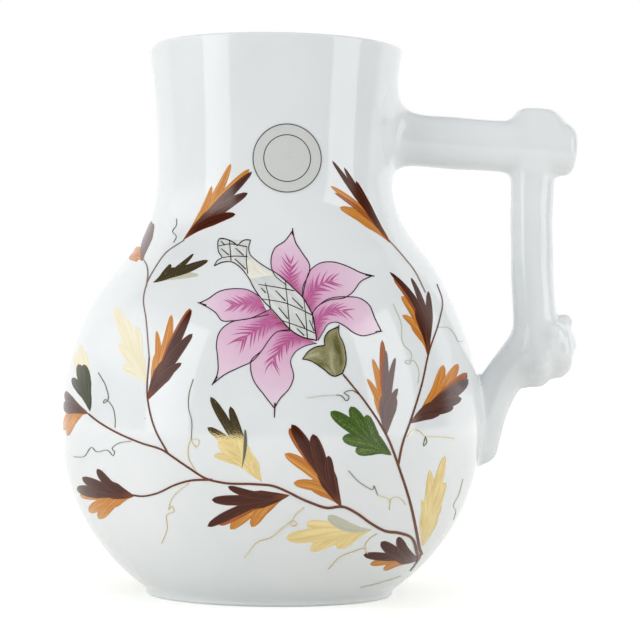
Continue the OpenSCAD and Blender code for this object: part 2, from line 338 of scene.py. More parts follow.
def branch_distance(p):
    """Distance to the uneven branch with its roots run out onto the body."""
    x, y, z = p.T
    heights, sizes = zip(*ROOT_BLENDS)
    away = body_distance(p)
    wave = np.sin(x / WAVES_LEVEL[0] + z / WAVES_UP[0]) * np.sin(y / WAVES_LEVEL[1] + z / WAVES_UP[1] + 1)
    uneven = UNEVEN * wave * np.clip(away / UNEVEN_FROM, 0, 1)
    return blended(handle_distance(p) + uneven, away, np.interp(z, heights, sizes))


def model_handle(materials):
    """The branch handle, modelled as one skin that dies into the body's surface."""
    cells = np.ceil((HANDLE_HIGH - HANDLE_LOW) / HANDLE_CELL).astype(int)
    lines = [HANDLE_LOW[i] + HANDLE_CELL * np.arange(cells[i]) for i in range(3)]
    grid_points = np.stack(np.meshgrid(*lines, indexing="ij"), -1)
    field = branch_distance(grid_points.reshape(-1, 3)).reshape(cells)
    volume = openvdb.FloatGrid()
    volume.copyFromArray(field.astype(np.float32))
    points, quads = volume.convertToQuads(0)
    points = HANDLE_LOW + HANDLE_CELL * np.asarray(points, float)
    for _ in range(SETTLE_ROUNDS):
        here = branch_distance(points)
        slope = np.stack([(branch_distance(points + PROBE * axis) - here) / PROBE for axis in np.eye(3)], 1)
        points = points - slope * (here / (slope ** 2).sum(1))[:, None]
    proud = body_distance(points) > SEAM_LIFT
    inside = ((points > HANDLE_LOW + HANDLE_MARGIN) & (points < HANDLE_HIGH - HANDLE_MARGIN)).all(1)
    quads = np.asarray(quads)
    quads = quads[(proud[quads].any(1)) & (inside[quads].all(1))]
    used, quads = np.unique(quads, return_inverse=True)
    points, quads = points[used], quads.reshape(-1, 4)
    piece = mesh_piece("handle_branch", points, quads, materials,
                       ["handle_upper_limb", "handle_upright", "handle_lower_limb"])
    work = bmesh.new()
    work.from_mesh(piece.data)
    bmesh.ops.recalc_face_normals(work, faces=work.faces)
    seam = [edge.link_loops[0] for edge in work.edges if edge.is_boundary]
    sunk = {}
    for loop in seam:
        place = loop.vert.co
        out = Vector((place.x, place.y, 0)).normalized()
        sunk[loop.vert] = work.verts.new(place - out * (SEAM_SUNK * MM))
    for loop in seam:
        start, end = loop.vert, loop.link_loop_next.vert
        work.faces.new((end, start, sunk[start], sunk[end]), loop.face)
    work.to_mesh(piece.data)
    work.free()
    piece.data.set_sharp_from_angle(angle=HANDLE_CRISP)


# Camera

def set_up_camera():
    """The camera, at the photograph's place and angle."""
    camera = bpy.data.objects.new("eye", bpy.data.cameras.new("eye"))
    bpy.context.collection.objects.link(camera)
    camera.location = Vector(EYE) * MM
    camera.rotation_euler = (math.pi / 2 + EYE_PITCH, EYE_ROLL, 0)
    camera.data.sensor_width = SENSOR
    camera.data.lens = PIXELS_PER_MM * -EYE[1] / PIXELS * SENSOR
    camera.data.clip_start = 0.01
    bpy.context.scene.camera = camera


# Studio

# Soft lamps: azimuth and elevation in degrees from the front, distance, width, height, glow,
# and whether the glaze mirrors them
SOFTBOXES = {
    "softbox_left": (-54, 17, 1000, 470, 800, 2.2, True),
    "softbox_right": (67, 17, 1000, 510, 800, 2.2, True),
    "ceiling_fill": (0, 90, 1600, 2600, 2600, 0.5, False),
    "low_fill": (-50, 8, 1500, 900, 500, 2.1, False),
}

# The room that the glaze mirrors: an axis of the looking direction, where on it each share starts
# and is full, and the glow at both
ROOM = {
    "behind": ("Y", 0.25, 0.45, 0, 1.1),
    "left": ("X", -0.72, -0.88, 0, 1),
    "window": ("Z", 0.15, 0.3, 0.5, 1.5),
    "below_ceiling": ("Z", 0.75, 0.55, 0, 1),
}
ROOM_GLOW, ROOM_DARK = 0.47, 0.09

# Floor, in metres: its disc, how far that comes to the front, its drop under the foot and its sides,
# and the white that it shows near the jug, with where that starts to fade to full white and ends
FLOOR_R, FLOOR_FRONT, FLOOR_DROP, FLOOR_SIDES = 4, 0.7, 0.0001, 64
FLOOR_NEAR, FADE_FROM, FADE_TO = 0.4, 0.3, 1.5
WHITE = (1, 1, 1, 1)


def softbox(name, azimuth, elevation, distance, width, height, glow, mirrored):
    """A rectangular soft lamp of an even glow that faces the belly, placed by its angles from the front."""
    lamp = bpy.data.lights.new(name, "AREA")
    lamp.shape = "RECTANGLE"
    lamp.size, lamp.size_y = width * MM, height * MM
    lamp.energy = glow * math.pi * lamp.size * lamp.size_y
    holder = bpy.data.objects.new(name, lamp)
    bpy.context.collection.objects.link(holder)
    a, e = math.radians(azimuth), math.radians(elevation)
    away = Vector((math.sin(a) * math.cos(e), -math.cos(a) * math.cos(e), math.sin(e)))
    holder.location = Vector((0, 0, WIDEST_Z * MM)) + away * (distance * MM)
    holder.rotation_euler = away.to_track_quat("Z", "Y").to_euler()
    holder.visible_glossy = mirrored


def light_room():
    """The room: white to the eye, soft light to the jug, and pale walls round a dark front to the glaze."""
    world = bpy.data.worlds.new("studio")
    bpy.context.scene.world = world
    world.use_nodes = True
    tree = world.node_tree
    tree.nodes.clear()
    direction = add(tree, "ShaderNodeTexCoord", {}).outputs["Generated"]
    axes = add(tree, "ShaderNodeSeparateXYZ", {"Vector": direction})
    share = {}
    for part, (axis, start, full, low, high) in ROOM.items():
        share[part] = add(tree, "ShaderNodeMapRange", {
            "Value": axes.outputs[axis], "From Min": start, "From Max": full, "To Min": low, "To Max": high},
            interpolation_type="SMOOTHSTEP")
    left = add(tree, "ShaderNodeMath", {0: share["left"], 1: share["window"]}, operation="MULTIPLY")
    walls = add(tree, "ShaderNodeMath", {0: share["behind"], 1: left}, operation="MAXIMUM")
    glow = add(tree, "ShaderNodeMath", {0: walls, 1: share["below_ceiling"], 2: ROOM_DARK},
               operation="MULTIPLY_ADD")
    mirrored = add(tree, "ShaderNodeBackground", {"Color": WHITE, "Strength": glow})
    soft = add(tree, "ShaderNodeBackground", {"Color": WHITE, "Strength": ROOM_GLOW})
    white = add(tree, "ShaderNodeBackground", {"Color": WHITE, "Strength": 1})
    ray = add(tree, "ShaderNodeLightPath", {})
    room = add(tree, "ShaderNodeMixShader", {0: ray.outputs["Is Glossy Ray"], 1: soft, 2: mirrored})
    both = add(tree, "ShaderNodeMixShader", {0: ray.outputs["Is Camera Ray"], 1: room, 2: white})
    add(tree, "ShaderNodeOutputWorld", {"Surface": both})


def floor_paper():
    """Matt white paper that keeps the jug's shadow: white to the eye far out, and clear from below."""
    paper, tree = finish_of("floor_paper_white")
    ray = add(tree, "ShaderNodeLightPath", {})
    seen = add(tree, "ShaderNodeMath", {0: ray.outputs["Is Camera Ray"], 1: ray.outputs["Is Glossy Ray"]},
               operation="MAXIMUM")
    seen = add(tree, "ShaderNodeMath", {0: seen, 1: ray.outputs["Is Transmission Ray"]}, operation="MAXIMUM")
    place = add(tree, "ShaderNodeTexCoord", {}).outputs["Object"]
    away = add(tree, "ShaderNodeVectorMath", {0: place}, operation="LENGTH")
    white = add(tree, "ShaderNodeMapRange", {
        "Value": away, "From Min": FADE_FROM, "From Max": FADE_TO, "To Min": FLOOR_NEAR, "To Max": 1})
    strength = add(tree, "ShaderNodeMath", {0: seen, 1: white}, operation="MULTIPLY")
    glow = add(tree, "ShaderNodeEmission", {"Color": WHITE, "Strength": strength})
    matt = add(tree, "ShaderNodeBsdfDiffuse", {"Color": linear("#F1F1EC")})
    both = add(tree, "ShaderNodeAddShader", {0: glow, 1: matt})
    clear = add(tree, "ShaderNodeBsdfTransparent", {})
    side = add(tree, "ShaderNodeNewGeometry", {}).outputs["Backfacing"]
    one_sided = add(tree, "ShaderNodeMixShader", {0: side, 1: both, 2: clear})
    add(tree, "ShaderNodeOutputMaterial", {"Surface": one_sided})
    return paper


def set_up_studio():
    """Soft lamps left, right and above, the room round them, and a white floor."""
    for name, lamp in SOFTBOXES.items():
        softbox(name, *lamp)
    light_room()
    mesh = bpy.data.meshes.new("floor")
    work = bmesh.new()
    bmesh.ops.create_circle(work, cap_ends=True, segments=FLOOR_SIDES, radius=FLOOR_R)
    bmesh.ops.translate(work, verts=work.verts, vec=(0, FLOOR_R - FLOOR_FRONT, 0))
    work.to_mesh(mesh)
    work.free()
    mesh.materials.append(floor_paper())
    floor = bpy.data.objects.new("floor", mesh)
    bpy.context.collection.objects.link(floor)
    floor.location.z = -FLOOR_DROP


# Finishes of the jug

def porcelain_glaze():
    """Glazed porcelain: white clay under a clear fired glaze that pools a little and catches a few specks."""
    material, tree = finish_of("porcelain_clear_glazed")
    place = add(tree, "ShaderNodeTexCoord", {}).outputs["Object"]
    cloud_mm, ripple_mm, speck_mm = 38, 14, 6
    speck_in, speck_out, speck_rare = 0.03, 0.05, 0.93
    cloud = add(tree, "ShaderNodeTexNoise", {"Vector": place, "Scale": 1 / (cloud_mm * MM), "Detail": 3})
    tint = add(tree, "ShaderNodeValToRGB", {"Fac": cloud}, [(0.3, "#E3E7E9"), (0.7, "#EAEDEF")])
    speck = add(tree, "ShaderNodeTexVoronoi", {
        "Vector": place, "Scale": 1 / (speck_mm * MM), "Randomness": 1})
    dot = add(tree, "ShaderNodeMapRange", {"Value": speck, "From Min": speck_out, "From Max": speck_in})
    chance = add(tree, "ShaderNodeSeparateColor", {"Color": speck.outputs["Color"]}).outputs["Red"]
    some = add(tree, "ShaderNodeMath", {0: chance, 1: speck_rare}, operation="GREATER_THAN")
    fleck = add(tree, "ShaderNodeMath", {0: dot, 1: some}, operation="MULTIPLY")
    colour = add(tree, "ShaderNodeMix", {"Factor": fleck, "A": tint, "B": linear("#A39A90")},
                 data_type="RGBA")
    ripple = add(tree, "ShaderNodeTexNoise", {"Vector": place, "Scale": 1 / (ripple_mm * MM), "Detail": 1})
    gloss = add(tree, "ShaderNodeMapRange", {"Value": cloud, "To Min": 0.05, "To Max": 0.11})
    return surfaced(material, {"Base Color": colour, "Roughness": gloss, "IOR": 1.52},
                    relief=ripple, strength=0.2, depth_mm=0.25)


def bare_biscuit():
    """Unglazed biscuit porcelain where the foot was wiped: matt, fine-grained and a little warm."""
    material, tree = finish_of("porcelain_biscuit_bare")
    place = add(tree, "ShaderNodeTexCoord", {}).outputs["Object"]
    # Drawn coarser than the real grit, so that it shows
    grit_mm = 0.8
    grit = add(tree, "ShaderNodeTexNoise", {"Vector": place, "Scale": 1 / (grit_mm * MM), "Detail": 4})
    tint = add(tree, "ShaderNodeValToRGB", {"Fac": grit}, [(0, "#C9C2B5"), (1, "#E4DFD4")])
    return surfaced(material, {"Base Color": tint, "Roughness": 0.85},
                    relief=grit, strength=0.3, depth_mm=0.1)


# Painting: its places lie on the drawing plane through the jug's axis, as the eye sees them,
# and are cast onto the glaze

# Films: their height over the glaze on the lowest layer, the step to the next, and how deep they sit in it
FILM_BASE, FILM_STEP, FILM_SUNK = 0.04, 0.008, 0.12
# Casting: the share of the half width seen straight, how much wider the eye sees the outline,
# the room in front of the belly, and the steps and halvings that find the glaze
EDGE_SHARE, SEEN_WIDER, FRONT_ROOM = 0.9, 1.004, 2
SCAN_STEPS, HALVINGS = 40, 22
# Leaf strokes: how far they follow the midrib, where and how they swell, and where a tip begins
MIDRIB_SHARE, LOBE_SWELL, SWELL_POWER, POINTED, BLUNT = 0.5, 0.6, 0.8, 0.45, 0.74
STROKE_ROWS, STROKE_COLUMNS, LEAST_W = 30, 6, 0.06
WASH_REACH, WASH_SHARE, WASH_LEAST, WASH_MOST = 0.62, 0.5, 2.5, 6.6
# Drawn lines: the spacing and least number of their rows, their columns, and an ink line's thin and full end
LINE_STEP, LINE_ROWS, LINE_COLUMNS = 0.9, 8, 4
INK_THIN, INK_FULL = 0.75, 1.1
# Layer of each film; a leaf's strokes start on layer 0
LAYER = {
    "petal": 2, "vein": 4, "rib": 5, "pistil": 8, "ivory": 10, "calyx": 10, "gilt side": 12, "petal edge": 14,
    "petal tail": 15, "calyx edge": 15, "scale": 16, "dash": 17, "pistil edge": 18, "stem": 22, "tendril": 24}
# Names of the enamels and gildings
ORANGE, RUST, BROWN, SHEEN, GREEN = "orange", "rust", "brown", "sheen", "green"
GOLD, GILT_BRIGHT_REFLECTION, GILT_DARK_REFLECTION, GILT_LINE_DARK_REFLECTION, FAINT = "gold", "pale", "dim", "thread", "faint"
INK, BARK, TWIG, PINK = "ink", "bark", "twig", "pink"
VEIN, OLIVE, PISTIL_SHADE_GREY, IVORY = "vein", "olive", "wash", "ivory"

# Leaves: the foot of the leaf, where its midrib heads, how far along a stroke its tip begins,
# and its brush strokes as enamel, tip and greatest width
LEAVES = {
    "leaf_neck_left": ((-34, 131.5), (-9, 158), POINTED, [
        (ORANGE, (-16.5, 160.5), 3.4), (ORANGE, (-23.5, 152), 2.4), (ORANGE, (-9.5, 158.5), 4.4),
        (SHEEN, (-8.5, 157.5), 3.6), (SHEEN, (-10, 149.5), 4.4), (BROWN, (-14.5, 141.5), 4)]),
    "leaf_neck_right": ((43.5, 131.5), (24.5, 158), POINTED, [
        (ORANGE, (24.5, 144.5), 4.4), (ORANGE, (21, 152.5), 2.6), (RUST, (22.5, 150), 1.8),
        (BROWN, (21.5, 162), 2.2), (BROWN, (30.5, 154.5), 2.6), (BROWN, (26, 159.5), 2.2)]),
    "leaf_shoulder_edge": ((-49.5, 123.5), (-47, 138), POINTED, [
        (ORANGE, (-53.5, 128.5), 4.5), (ORANGE, (-55, 125), 4.5),
        (SHEEN, (-45.5, 138), 4), (SHEEN, (-47, 139), 4.4)]),
    "leaf_shoulder_gilt": ((-45, 115.5), (-24.5, 124), POINTED, [
        (FAINT, (-28, 118.5), 2.6), (GOLD, (-24.5, 124), 3.2), (GOLD, (-38.5, 122.5), 2.6),
        (GOLD, (-30, 126.5), 2)]),
    # Pale cream strokes paint in the gold's bright reflection
    "leaf_left_gilt": ((-47.5, 77.5), (-59, 106), BLUNT, [
        (GILT_BRIGHT_REFLECTION, (-56, 84), 4), (GILT_BRIGHT_REFLECTION, (-57.5, 92.5), 4.5), (GILT_BRIGHT_REFLECTION, (-51, 99), 4.5),
        (GILT_BRIGHT_REFLECTION, (-54.5, 102), 4), (GILT_BRIGHT_REFLECTION, (-59, 106), 4.5)]),
    "leaf_left": ((-46.5, 71.5), (-30.5, 106), POINTED, [
        (ORANGE, (-43.5, 97.5), 2.8), (ORANGE, (-38, 103.5), 3.8), (RUST, (-31, 106), 4.4),
        (BROWN, (-30.5, 105.5), 3.6), (BROWN, (-30, 96.5), 4.2), (BROWN, (-34, 85.5), 3.4)]),
    # Pale tips paint in the gold's bright reflection, the dark strokes its dark reflection
    "leaf_edge_gilt": ((-68, 67), (-71.5, 92), BLUNT, [
        (GILT_BRIGHT_REFLECTION, (-76, 89), 4), (GILT_BRIGHT_REFLECTION, (-71, 90), 3.6), (GILT_BRIGHT_REFLECTION, (-73, 92), 3.6),
        (GILT_DARK_REFLECTION, (-76, 79), 3.6), (GILT_DARK_REFLECTION, (-73, 84.5), 4), (GILT_DARK_REFLECTION, (-70.5, 84.5), 3.6)]),
    "leaf_edge": ((-68.5, 66), (-80, 72), BLUNT, [
        (ORANGE, (-80.5, 59), 4.5), (ORANGE, (-77.5, 57), 4),
        (BROWN, (-80.5, 73.5), 4), (BROWN, (-81, 68), 5)]),
    "leaf_front_gilt": ((-3.5, 41.5), (-23, 72.5), BLUNT, [
        (GOLD, (-21.5, 51), 3.4), (GOLD, (-24, 61.5), 3.4), (GOLD, (-20, 56), 5.4), (GOLD, (-23, 73), 3.4),
        (GOLD, (-15.5, 69.5), 3.2), (GOLD, (-12.5, 58), 4), (GOLD, (-6.5, 50), 3)]),
    "leaf_low_left": ((-51, 35.5), (-71, 38), BLUNT, [
        (ORANGE, (-72, 34.5), 3.4), (ORANGE, (-68, 28.5), 4.2), (ORANGE, (-64, 26.5), 4.2),
        (BROWN, (-73.5, 37), 4.4), (BROWN, (-70.5, 42), 3.8), (BROWN, (-65, 45.5), 3)]),
    "leaf_low_front": ((7, 36.5), (-22, 31), BLUNT, [
        (ORANGE, (-15, 23.5), 4.2), (ORANGE, (-7, 24.5), 4.2), (RUST, (-19, 25), 3.6),
        (BROWN, (-23.5, 24.5), 3.6), (BROWN, (-22, 34.5), 3.8), (BROWN, (-16, 39.5), 2.8)]),
    "leaf_front": ((26.5, 32.5), (10, 61), BLUNT, [
        (ORANGE, (5, 52), 4.2), (ORANGE, (8.5, 41), 3.8), (RUST, (6.5, 61.5), 4.4),
        (BROWN, (7.5, 63), 4.6), (BROWN, (15.5, 59.5), 4.8), (BROWN, (21.5, 51.5), 3.4)]),
    "leaf_front_green": ((45, 52), (22, 68), BLUNT, [
        (GREEN, (31.5, 53), 4.8), (GREEN, (26.5, 58), 5), (GREEN, (22, 68), 4.8),
        (GREEN, (29.5, 70), 4.8), (GREEN, (35.5, 67), 4)]),
    "leaf_right": ((43, 59.5), (41.5, 95), POINTED, [
        (ORANGE, (35.5, 80.5), 2.6), (ORANGE, (37.5, 88), 3), (RUST, (41, 95), 3.4),
        (SHEEN, (42.5, 91), 2.6), (SHEEN, (46, 88.5), 2.6), (SHEEN, (47, 77), 3)]),
    "leaf_side": ((52, 64), (74, 81.5), BLUNT, [
        (ORANGE, (64, 86), 3.6), (ORANGE, (69.5, 86.5), 3.8), (RUST, (73.5, 83), 4.6),
        (SHEEN, (74, 80.5), 4.8), (SHEEN, (71, 73.5), 4), (SHEEN, (68, 70), 3.6)]),
    "leaf_shoulder": ((58, 89.5), (60.5, 118), POINTED, [
        (ORANGE, (48.5, 104.5), 3.6), (ORANGE, (48, 111.5), 4.8), (RUST, (45, 118), 3.6),
        (BROWN, (51.5, 118.5), 2.4), (BROWN, (43.5, 120.5), 2.6), (BROWN, (58, 113.5), 2.8)]),
    "leaf_side_gilt": ((57, 18), (65, 52), POINTED, [
        (GOLD, (56.5, 35.5), 2.4), (GOLD, (64, 33.5), 3), (GOLD, (59.5, 46.5), 4),
        (GOLD, (65.5, 42), 4), (GOLD, (65, 52), 4)]),
    "leaf_low_gilt": ((38, 24), (6, 20.5), BLUNT, [
        (GOLD, (15, 16), 4.5), (GOLD, (25, 17), 5), (FAINT, (21.5, 29), 4),
        (GOLD, (13.5, 26), 5), (GOLD, (6, 20.5), 5)]),
    "leaf_low_right": ((56, 13), (35, 14.5), BLUNT, [
        (ORANGE, (37.5, 11), 2.6), (ORANGE, (42.5, 9), 2.4),
        (BROWN, (35, 14.5), 3), (BROWN, (41.5, 19.5), 4.2), (BROWN, (48, 21.5), 3.6)]),
}

# Dark side of the front gilt leaf, one stroke over its gold: foot, midrib, tip, width
# and where its tip begins
GILT_SIDE = ((-11, 46.3), (-9.3, 53), (-9.9, 61), 1.4, POINTED)

# Stems: their enamel, width at the thick end and at the thin end, and the places they pass
STEMS = {
    "stem_main": (BARK, 1.05, 0.6, [
        (55.5, 13.5), (52.5, 21.5), (48, 23), (43.5, 23.5), (37.5, 26.5), (32.5, 30), (27, 32.5),
        (21, 32), (16, 33.5), (11, 35.5), (7, 37.5), (0.5, 40), (-5.5, 40.5), (-18.5, 41), (-24.5, 42.5),
        (-29.5, 45.5), (-37, 50.5), (-40, 52.5), (-49, 55.5), (-58.5, 59.5), (-66, 64), (-68.5, 66)]),
    "stem_flower": (BARK, 0.95, 0.55, [
        (56.5, 14.5), (52, 35), (48, 47), (43.5, 58.5), (35.5, 71), (26.5, 82)]),
    "stem_right": (BARK, 0.75, 0.32, [
        (47.5, 48), (49, 56), (52, 65), (56, 78.5), (58.5, 90.5), (62.5, 103.5), (63.5, 110.5),
        (61.5, 116.5)]),
    "stem_neck_right": (TWIG, 0.38, 0.28, [(57, 113), (52.5, 121.5), (48, 127), (43, 132.5)]),
    "stem_left": (BARK, 0.62, 0.42, [(-38.5, 51.5), (-43.5, 60.5), (-46.5, 72), (-46.1, 87.5)]),
    "stem_left_top": (TWIG, 0.42, 0.26, [
        (-46.1, 87.5), (-47.5, 102), (-48.5, 109.5), (-47.5, 114.5), (-44, 121.5), (-40.5, 126.5),
        (-33.5, 131.5)]),
    "stem_shoulder_edge": (TWIG, 0.42, 0.36, [(-47.5, 114), (-47, 119.5), (-47.5, 122), (-49, 124.5)]),
    "stem_low_left": (BARK, 0.8, 0.55, [
        (-22, 42), (-30.5, 41.5), (-35.5, 40), (-43, 36.5), (-48, 35.5), (-52.5, 36)]),
    "stem_root": (BARK, 0.9, 0.3, [(56, 14.5), (54.5, 11.5), (52, 8)]),
}

# Tendrils, drawn with a fine gilt line; where the gold mirrors the dark room, that dark reflection is painted
# into the line's enamel
TENDRIL_W, TENDRIL_END = 0.24, 0.192
TENDRILS = {
    "tendril_shoulder_edge": (GILT_LINE_DARK_REFLECTION, [
        (-36.5, 139.5), (-36.5, 137), (-38, 134.5), (-36.5, 133), (-37.5, 130.5)]),
    "tendril_edge": (GILT_LINE_DARK_REFLECTION, [
        (-65, 81.5), (-62, 76), (-61.5, 71), (-63, 70), (-62.5, 71.5), (-60, 69.5), (-58.5, 64.5),
        (-58.5, 61)]),
    "tendril_left": (GILT_LINE_DARK_REFLECTION, [(-29.5, 79.5), (-31, 74), (-31, 68), (-30, 64.5), (-30, 56.5)]),
    "tendril_left_curl": (GOLD, [
        (-30, 56.5), (-28, 54), (-27, 56.5), (-29.5, 57), (-31, 50.5), (-28, 45)]),
    "tendril_low_edge": (GILT_LINE_DARK_REFLECTION, [
        (-74, 49.5), (-70, 50), (-67, 53.5), (-65.5, 52), (-61, 52.5), (-59, 50.5), (-58.5, 52),
        (-59.5, 53), (-57.5, 55), (-52.5, 56)]),
    "tendril_low_left": (GOLD, [
        (-40.5, 18), (-38.5, 23.5), (-38.5, 29), (-36, 30), (-37, 32), (-38, 30.5), (-37, 34.5),
        (-34, 38), (-30.5, 40.5)]),
    "tendril_low_front": (GOLD, [
        (-9.5, 13), (-4.5, 19), (0, 20.5), (5, 24.5), (9, 27), (10, 25.5), (8, 25), (9, 28.5),
        (12.5, 32)]),
    "tendril_flower": (FAINT, [(13, 73), (20.5, 74), (24, 74.2)]),
    "tendril_flower_curl": (GILT_DARK_REFLECTION, [
        (24, 74.2), (26, 74), (28, 72), (29, 73.5), (27, 75), (30, 76), (32.5, 74.5)]),
    "tendril_front": (GILT_LINE_DARK_REFLECTION, [(29, 46), (33.5, 41.5), (38.5, 39.5), (38.5, 40.5), (40, 37)]),
    "tendril_front_curl": (GOLD, [
        (40, 37), (44.5, 35), (44.5, 31.5), (45.5, 36), (48.5, 36), (50.5, 33.5)]),
    "tendril_side": (GOLD, [(51, 59), (53.5, 61.5), (55.5, 61), (57.5, 59)]),
    "tendril_side_curl": (GILT_LINE_DARK_REFLECTION, [(57.5, 59.2), (58.2, 57), (57, 55.5), (57.5, 59)]),
    "tendril_side_end": (GOLD, [(57.5, 59), (63, 59), (68.5, 58.5)]),
    "tendril_shoulder": (FAINT, [
        (45, 108.5), (48, 101.5), (49, 93.5), (52, 90), (51, 86), (49.5, 87), (52.5, 87.5), (55, 82.5),
        (54.5, 79)]),
    "tendril_handle": (FAINT, [(62, 100), (65.5, 100), (68.5, 97), (69.5, 95), (72.5, 95)]),
    "tendril_low_side": (FAINT, [(72, 43), (70.5, 37), (68.5, 32.5), (70, 30.5), (69.5, 27)]),
    "tendril_low_gilt": (GOLD, [
        (22, 9), (26, 13.5), (30.5, 15.5), (36, 16.5), (36.5, 15), (35.5, 18), (37.5, 21), (40, 22.5)]),
    "tendril_root": (FAINT, [(34, 2.5), (38.5, 3.5), (43.5, 5), (48.5, 6.5)]),
}

# Flower: each petal lies between two edges that run from its foot to its tip;
# a short line draws its tip out
PETALS = {
    "petal_top": (
        [(5, 115), (0, 119.5), (-1, 124), (0.5, 129), (4, 131.5), (7, 135.5)],
        [(11, 111), (11, 114), (13.5, 120.5), (13.5, 122.5), (10.5, 127.5), (8, 131.5), (7, 135.5)],
        [(7, 134), (7, 136.5)]),
    "petal_upper_right": (
        [(11, 110.5), (12, 116), (14, 121), (17.5, 123.5), (22, 124), (27.5, 122.5), (33, 120),
         (37, 119)],
        [(14.5, 104.5), (17, 107.5), (20.5, 109.5), (27.5, 111), (29.5, 112.5), (33, 117), (37, 119)],
        [(34.5, 119.3), (37.8, 118.9)]),
    "petal_right": (
        [(15, 100.5), (15, 105), (17.5, 108), (20.5, 110), (27.5, 111), (32.5, 110.5), (36, 108),
         (38, 103.5), (40.5, 98.5)],
        [(17, 94.5), (19, 98), (20.5, 100.5), (23.5, 101.5), (27, 100), (30.5, 97.5), (33.5, 96.5),
         (36.5, 97), (40.5, 98.5)],
        [(38.5, 98), (41, 98.3)]),
    "petal_left": (
        [(-1.5, 104), (-8.5, 102.5), (-15, 101.5), (-19, 101.5), (-21.5, 104.5), (-24.5, 106.5),
         (-27.5, 108)],
        [(-5.5, 111), (-9, 113), (-15, 113.5), (-20, 112.5), (-24.5, 109.5), (-27.5, 108)],
        [(-25, 107.2), (-28.2, 108.2)]),
    "petal_lower_left": (
        [(6.5, 98), (1.5, 97.5), (-1, 95), (-4, 90.5), (-7.5, 86.5), (-12.5, 84), (-17.5, 81.5),
         (-22, 78)],
        [(-1, 106), (-8.5, 102.5), (-15.5, 101), (-18.5, 99), (-20, 97), (-21, 92.5), (-20.5, 88),
         (-20.5, 81.5), (-22, 78)],
        [(-20.5, 80.5), (-22.5, 77.4)]),
    "petal_bottom": (
        [(16.5, 93.5), (12.5, 92.5), (8.5, 90), (7, 87.5), (8, 80.5), (6.5, 76.5), (3, 72.5), (1, 69)],
        [(6.5, 98.5), (1.5, 97.5), (-1, 95), (-4, 90.5), (-8, 86.5), (-8, 83), (-7, 79.5), (-3, 74),
         (1, 69)],
        [(1.2, 71), (1, 65.5)]),
}
CALYX = [
    ([(11.3, 87.5), (13.5, 90.5), (16, 92), (19.5, 92.7), (21.5, 88)],
     [(11.3, 87.5), (14, 87), (16.5, 85.7), (19, 84), (23.5, 81.2)]),
    ([(23.5, 81.2), (20.5, 85.5), (19.5, 92.7), (19.4, 95.5), (21, 98), (24.8, 100.4)],
     [(23.5, 81.2), (26.3, 82.4), (27.5, 86), (27.3, 90.5), (26.3, 94), (24.8, 97), (24.8, 100.4)]),
]
CALYX_LINES = [
    CALYX[0][0][:4],
    [(19.5, 92.7), (19.4, 95.5), (21, 98), (24.8, 99.6)],
    [(24.8, 100.5), (24.8, 97), (26.3, 94), (27.3, 90.5), (27.5, 86), (26.3, 82.4)],
    [*CALYX[0][1], (26.3, 82.4)]]
PISTIL = (
    [(16.5, 94.5), (10.5, 96), (6.5, 98.5), (3.2, 102), (-0.5, 106), (-4, 109.5), (-7, 113.5),
     (-9.5, 118), (-13, 122), (-15.5, 123.5)],
    [(16.5, 94.5), (15.7, 99.5), (15, 103.5), (13, 107.5), (11.5, 110), (7.5, 114), (4.2, 117),
     (0.7, 119.7), (-3, 121.8), (-6, 123.8), (-9, 127)])
PISTIL_CROWN = (
    [(-15.5, 123.5), (-19.5, 125), (-20.5, 127), (-20.9, 129), (-20.5, 132)],
    [(-9, 127), (-9.3, 128), (-9.4, 129), (-9.2, 130), (-8.7, 131.7)])
PISTIL_LIP = ([(-15.5, 123.4), (-19, 123.4), (-22.2, 122)], [(-19.3, 125), (-20.8, 124.4), (-22.2, 122)])
PISTIL_LINES = [
    [(-22.2, 122), (-19, 123.4), *PISTIL[0][::-1]],
    [(-8.7, 131.7), (-9.4, 129.2), (-9.1, 127), *PISTIL[1][-2::-1]],
    [(-22.2, 122), (-20.8, 124.2), (-19.3, 125), (-20.5, 127), (-20.9, 129), (-20.5, 132), (-16.6, 131.6),
     (-14.8, 130.6), (-13.5, 129.6)],
    [(-13.5, 129.6), (-12, 131.2), (-10.4, 131.9), (-8.7, 131.7)]]
PISTIL_SCALES = [
    [(-3, 115.8), (-1.6, 110.2), (-0.9, 106.2)], [(4.4, 117), (5.3, 109.5), (6.4, 98.6)],
    [(11.5, 110), (12.1, 105.2), (13, 95.5)], [(-16.6, 131.6), (-15.9, 124)],
    [(-10, 129.2), (-10.2, 124), (-9.6, 119.2)], [(-5.5, 115.2), (1, 114.3), (7.9, 113)],
    [(-4, 109.8), (4.8, 108.3), (10.5, 106), (14.6, 104)],
    [(3.2, 101.9), (8.8, 100), (12.2, 98.8), (15.9, 97.2)],
    [(-20.7, 129.4), (-16.8, 130.2), (-10.1, 129.3)], [(-19.3, 125), (-16, 125.6), (-9.8, 125.6)]]
PISTIL_DASHES = [
    [(-4.6, 114), (-2.8, 112.1)], [(0.9, 113), (4.6, 109.2)], [(7.1, 110.4), (11.2, 106.4)],
    [(2.1, 106.6), (5.6, 102.5)], [(8.6, 104.4), (12, 99.2)], [(13.7, 102.1), (15.5, 98)],
    [(9, 98.9), (11.8, 96.3)], [(-19.8, 131.3), (-18.3, 129.8)], [(-19.6, 128.4), (-16.8, 126.1)],
    [(-14.3, 128.7), (-11.2, 126)], [(-14.5, 124.7), (-10.3, 120.8)]]
PISTIL_IVORY = ([(-8.6, 117.3), (-10.6, 120), (-10.3, 124)], [(0.3, 119), (-4, 121.4), (-8.3, 125)])
# Rows and columns of the washes
PETAL_MESH, CALYX_MESH, PISTIL_MESH, IVORY_MESH = (26, 12), (16, 8), (24, 10), (10, 8)
